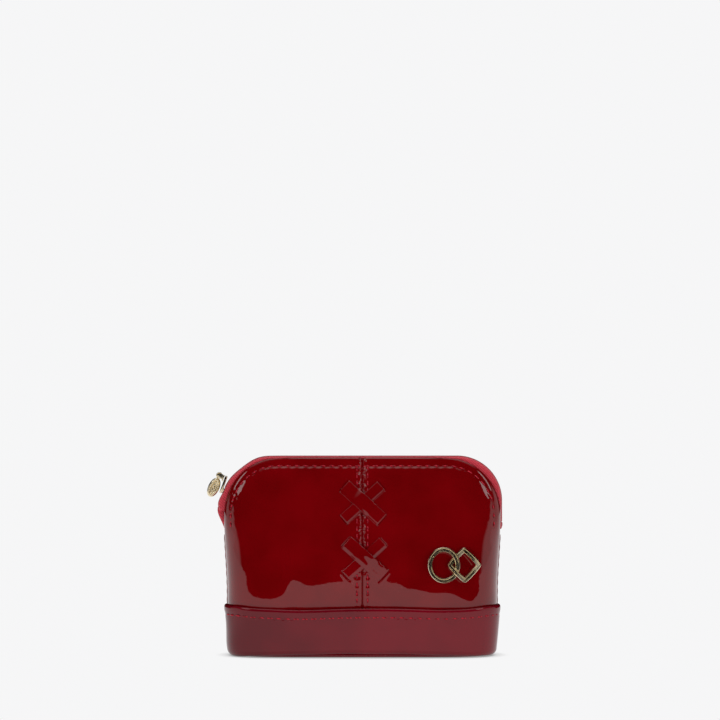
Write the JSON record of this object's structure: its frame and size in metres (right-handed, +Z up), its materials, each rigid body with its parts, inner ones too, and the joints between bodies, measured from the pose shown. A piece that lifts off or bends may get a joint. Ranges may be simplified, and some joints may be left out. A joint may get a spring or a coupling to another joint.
{
  "type": "zip-top pouch wallet",
  "caption": "Small upright zip-top pouch wallet in glossy patent leather, with a boxed base band, cross straps, a coil zip and an open metal badge.",
  "frame": {"origin": "middle of the flat underside", "axes": "+Z up, +X to the right and -Y towards the front with the badge"},
  "size_m": [0.1254, 0.0442, 0.0844],
  "materials": {
    "patent_leather": "patent",
    "leather_back": "suede",
    "lining_cloth": "woven",
    "zip_tape": "woven",
    "zip_teeth": "satin",
    "pale_gold": "polished",
    "stiff_board": "matte"
  },
  "bodies": {
    "root": {"band_front": "patent_leather", "band_back": "patent_leather", "base_panel": "patent_leather", "base_board": "stiff_board", "base_lining": "lining_cloth", "side_piping_left": "patent_leather", "side_piping_right": "patent_leather", "zip_end_left": "zip_tape", "zip_end_right": "zip_tape", "bottom_stop": "zip_teeth"},
    "front_wall": {"front_panel_left": "patent_leather", "front_panel_right": "patent_leather", "front_lining": "lining_cloth", "centre_seam_tape_front": "leather_back", "front_zip_tape": "zip_tape", "front_zip_coil": "zip_teeth", "top_stop_front": "pale_gold", "upper_strap_under": "patent_leather", "upper_strap_over": "patent_leather", "lower_strap_under": "patent_leather", "lower_strap_over": "patent_leather", "badge": "pale_gold", "badge_clip_plate": "pale_gold"},
    "back_wall": {"back_panel_left": "patent_leather", "back_panel_right": "patent_leather", "back_lining": "lining_cloth", "centre_seam_tape_back": "leather_back", "back_zip_tape": "zip_tape", "back_zip_coil": "zip_teeth", "top_stop_back": "pale_gold", "slip_pocket": "lining_cloth"},
    "slider": {"slider_body": "pale_gold", "slider_bridge": "pale_gold"},
    "pull": {"pull_tab": "pale_gold"}
  },
  "joints": [
    {"name": "slider_run", "type": "hinge", "parent": "root", "child": "slider", "pos_m": [-0.00042, 0, 0.05579], "axis": [0, 1, 0], "range_deg": [0, 160]},
    {"name": "pull_swing", "type": "hinge", "parent": "slider", "child": "pull", "pos_m": [-0.06075, 0, 0.07593], "axis": [0, 1, 0], "range_deg": [0, 150]},
    {"name": "front_wall_swing", "type": "hinge", "parent": "root", "child": "front_wall", "pos_m": [0, -0.0191, 0.0185], "axis": [1, 0, 0], "range_deg": [0, 10.3], "deforming": ["front_zip_tape", "front_zip_coil"]},
    {"name": "back_wall_swing", "type": "hinge", "parent": "root", "child": "back_wall", "pos_m": [0, 0.0191, 0.0185], "axis": [-1, 0, 0], "range_deg": [0, 10.3], "deforming": ["back_zip_tape", "back_zip_coil"]}
  ],
  "couplings": [
    {"joint": "front_wall_swing", "follows": "slider_run", "ratio": 0.064},
    {"joint": "back_wall_swing", "follows": "slider_run", "ratio": 0.064}
  ]
}
